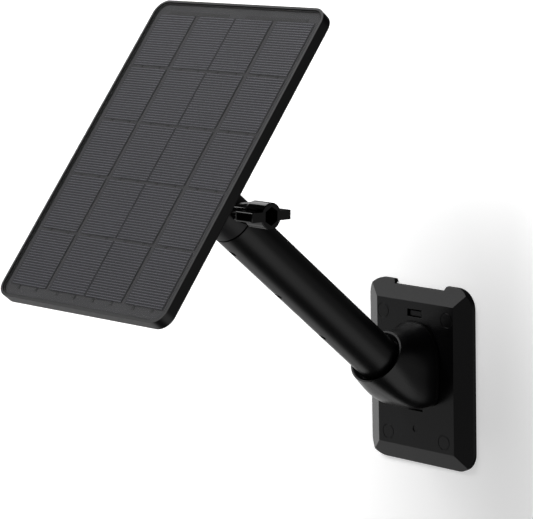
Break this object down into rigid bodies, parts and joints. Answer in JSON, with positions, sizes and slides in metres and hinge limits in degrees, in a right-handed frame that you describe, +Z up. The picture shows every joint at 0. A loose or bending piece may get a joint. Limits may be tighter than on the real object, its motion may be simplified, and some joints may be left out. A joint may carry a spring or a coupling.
{
  "type": "solar panel on a tubular wall arm",
  "caption": "Rectangular solar panel on a round arm, with a clamped ball head and a swivelling elbow on a bevelled wall plate.",
  "frame": {"origin": "centre of the wall bracket's back face, in the plane of the wall", "axes": "+Y into the wall, -Y out of it towards the panel, +Z up, +X along the wall to the right seen from the front"},
  "size_m": [0.1208, 0.2477, 0.2622],
  "materials": {
    "bracket_plastic": "matt",
    "cover_plastic": "satin, fine mould texture",
    "hub_plastic": "satin",
    "tube_plastic": "satin",
    "head_plastic": "matt",
    "tray_plastic": "matt",
    "bearing_plastic": "smooth",
    "knob_plastic": "polished",
    "rubber": "matt",
    "brass": "machined",
    "screw_steel": "zinc plated",
    "stud_steel": "machined",
    "spring_steel": "bright",
    "board": "matt black laminate",
    "cell": "dark silicon with fine metal lines",
    "ribbon": "black lacquer on tinned copper",
    "clear_sheet": "clear, low sheen",
    "circuit_board": "green laminate",
    "component": "moulded"
  },
  "bodies": {
    "wall_mount": {"wall_bracket": "bracket_plastic", "wall_cover": "cover_plastic", "friction_pad": "bearing_plastic"},
    "arm": {"hub_shell": "hub_plastic", "retaining_plate": "bracket_plastic", "retaining_screws": "screw_steel", "socket_sleeve": "bracket_plastic", "arm_tube": "tube_plastic", "arm_plug": "bracket_plastic", "arm_screw": "screw_steel", "end_plug": "bracket_plastic", "ball_housing": "head_plastic", "clamp_bush": "brass", "brake_shoe": "bearing_plastic", "seat_spring": "spring_steel"},
    "knob": {"thumb_knob": "knob_plastic", "knob_screw": "stud_steel"},
    "seat": {"ball_seat": "bearing_plastic"},
    "ball": {"ball_stud": "stud_steel"},
    "lock_ring": {"lock_disc": "knob_plastic", "lock_pad": "rubber"},
    "panel": {"rear_housing": "tray_plastic", "mounting_insert": "brass", "backing_board": "board", "solar_cells": "cell", "cell_ribbons": "ribbon", "cover_sheet": "clear_sheet", "edge_seal": "rubber", "regulator_board": "circuit_board", "regulator_parts": "component", "junction_cover": "tray_plastic", "lid_gasket": "rubber", "lid_screws": "screw_steel", "cable_gland": "rubber"}
  },
  "joints": [
    {"name": "hub_swivel", "type": "hinge", "parent": "wall_mount", "child": "arm", "pos_m": [0, 0, 0.006], "axis": [0, -1, 0], "range_deg": [-180, 180]},
    {"name": "knob_turn", "type": "hinge", "parent": "arm", "child": "knob", "pos_m": [0, -0.15122, 0.11014], "axis": [1, 0, 0], "range_deg": [0, 720]},
    {"name": "seat_turn", "type": "hinge", "parent": "arm", "child": "seat", "pos_m": [0, -0.15122, 0.11014], "axis": [0, -0.766, 0.6428], "continuous": true},
    {"name": "ball_tilt", "type": "hinge", "parent": "seat", "child": "ball", "pos_m": [0, -0.15122, 0.11014], "axis": [1, 0, 0], "range_deg": [-35, 35]},
    {"name": "lock_ring_turn", "type": "hinge", "parent": "ball", "child": "lock_ring", "pos_m": [0, -0.17389, 0.12916], "axis": [0, -0.766, 0.6428], "range_deg": [-720, 0]},
    {"name": "panel_spin", "type": "hinge", "parent": "ball", "child": "panel", "pos_m": [0, -0.18002, 0.13431], "axis": [0, -0.766, 0.6428], "range_deg": [-180, 180]}
  ]
}
